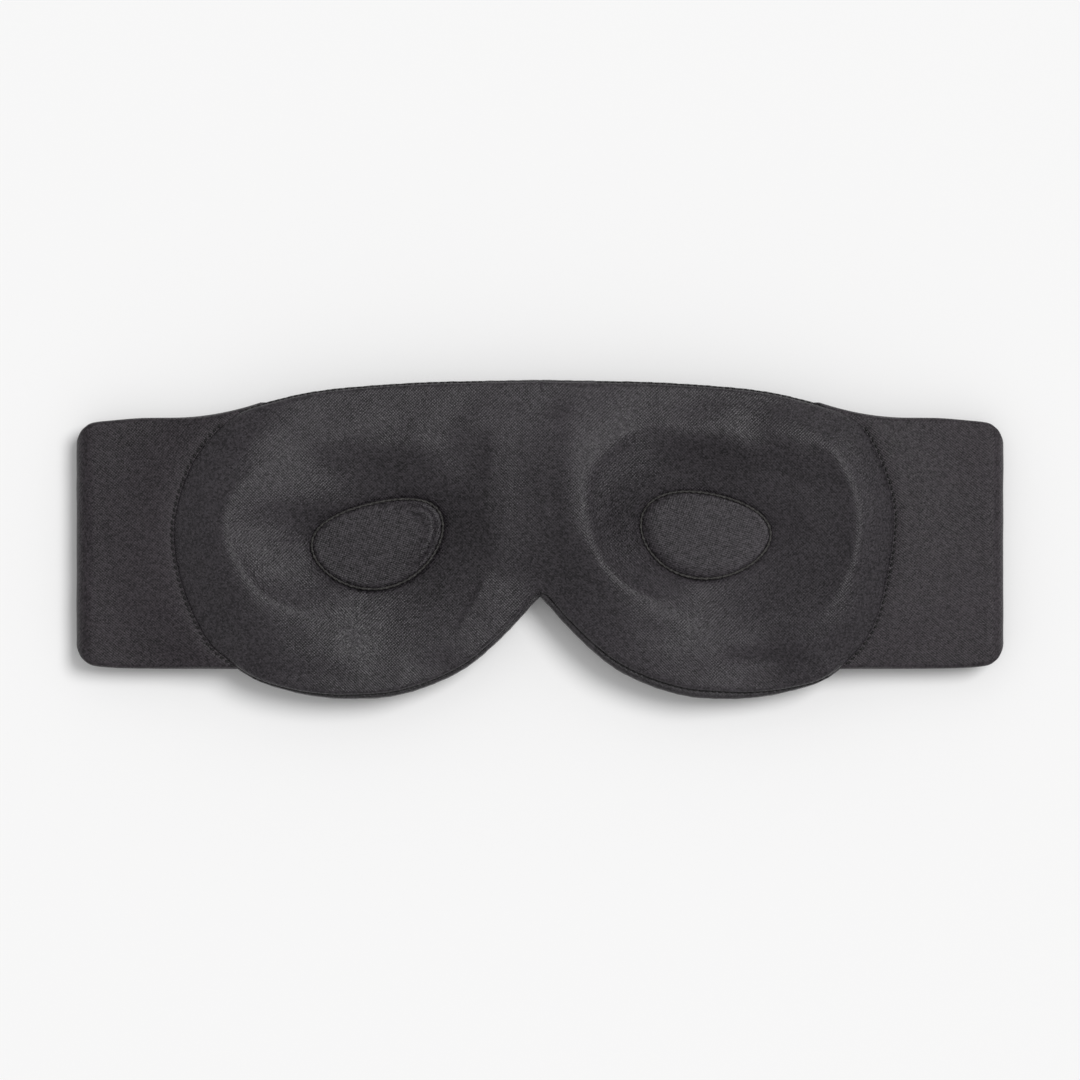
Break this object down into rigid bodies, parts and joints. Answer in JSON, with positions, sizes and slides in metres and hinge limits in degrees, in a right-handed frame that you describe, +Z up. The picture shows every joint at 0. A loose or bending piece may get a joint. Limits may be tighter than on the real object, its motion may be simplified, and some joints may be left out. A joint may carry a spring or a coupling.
{
  "type": "sleep eye mask",
  "caption": "Padded sleep eye mask with two deep eye bowls, a nose notch and wide straps folded flat behind it that close with a hook patch on a loop patch.",
  "frame": {"origin": "on the surface the mask lies on, under the middle of its bounding box", "axes": "+X along the mask towards the side that is on the right when its face side is seen with the nose notch down, +Y towards its upper edge, +Z up out of the face side"},
  "size_m": [0.2596, 0.0888, 0.021],
  "materials": {
    "shell": "satin polyester",
    "lining": "matte black woven",
    "foam": "moulded foam",
    "liner": "brushed microfibre satin",
    "window": "brushed microfibre satin",
    "cord": "covered cord",
    "thread": "polyester thread",
    "strap": "soft knitted satin",
    "elastic": "ribbed elastic",
    "hook": "hook tape",
    "loop": "napped loop tape"
  },
  "bodies": {
    "mask_right": {"right_outer_shell": "shell", "right_blackout_lining": "lining", "right_foam_pad": "foam", "right_face_liner": "liner", "right_eye_window": "window", "right_window_cord": "cord", "right_edge_stitch": "thread", "right_side_panel": "strap", "nose_bridge_pad": "liner"},
    "mask_left": {"left_outer_shell": "shell", "left_blackout_lining": "lining", "left_foam_pad": "foam", "left_face_liner": "liner", "left_eye_window": "window", "left_window_cord": "cord", "left_edge_stitch": "thread", "left_side_panel": "strap"},
    "left_fold": {"left_strap_fold": "strap"},
    "left_strap": {"left_strap_rear": "strap", "left_elastic_section": "elastic"},
    "left_tab": {"left_strap_tab": "strap", "hook_patch": "hook"},
    "right_fold": {"right_strap_fold": "strap"},
    "right_strap": {"right_strap_rear": "strap", "loop_patch": "loop"}
  },
  "joints": [
    {"name": "nose_flex", "type": "hinge", "parent": "mask_right", "child": "mask_left", "pos_m": [0, 0, 0.00915], "axis": [0, 1, 0], "range_deg": [0, 40], "stiffness_Nm_per_rad": 0.05, "deforming": ["nose_bridge_pad"]},
    {"name": "left_fold_upper", "type": "hinge", "parent": "mask_left", "child": "left_fold", "pos_m": [-0.12782, 0, 0.00772], "axis": [0, 1, 0], "range_deg": [0, 125], "deforming": ["left_strap_fold"]},
    {"name": "left_fold_lower", "type": "hinge", "parent": "left_fold", "child": "left_strap", "pos_m": [-0.12782, 0, 0.00198], "axis": [0, 1, 0], "range_deg": [0, 125]},
    {"name": "strap_stretch", "type": "slide", "parent": "left_strap", "child": "left_tab", "axis": [1, 0, 0], "range_m": [0, 0.012], "stiffness_N_per_m": 150, "deforming": ["left_elastic_section"]},
    {"name": "right_fold_upper", "type": "hinge", "parent": "mask_right", "child": "right_fold", "pos_m": [0.12782, 0, 0.00772], "axis": [0, -1, 0], "range_deg": [0, 125], "deforming": ["right_strap_fold"]},
    {"name": "right_fold_lower", "type": "hinge", "parent": "right_fold", "child": "right_strap", "pos_m": [0.12782, 0, 0.00198], "axis": [0, -1, 0], "range_deg": [0, 125]}
  ],
  "couplings": [
    {"joint": "left_fold_lower", "follows": "left_fold_upper", "ratio": 1},
    {"joint": "right_fold_upper", "follows": "left_fold_upper", "ratio": 1},
    {"joint": "right_fold_lower", "follows": "left_fold_upper", "ratio": 1}
  ]
}
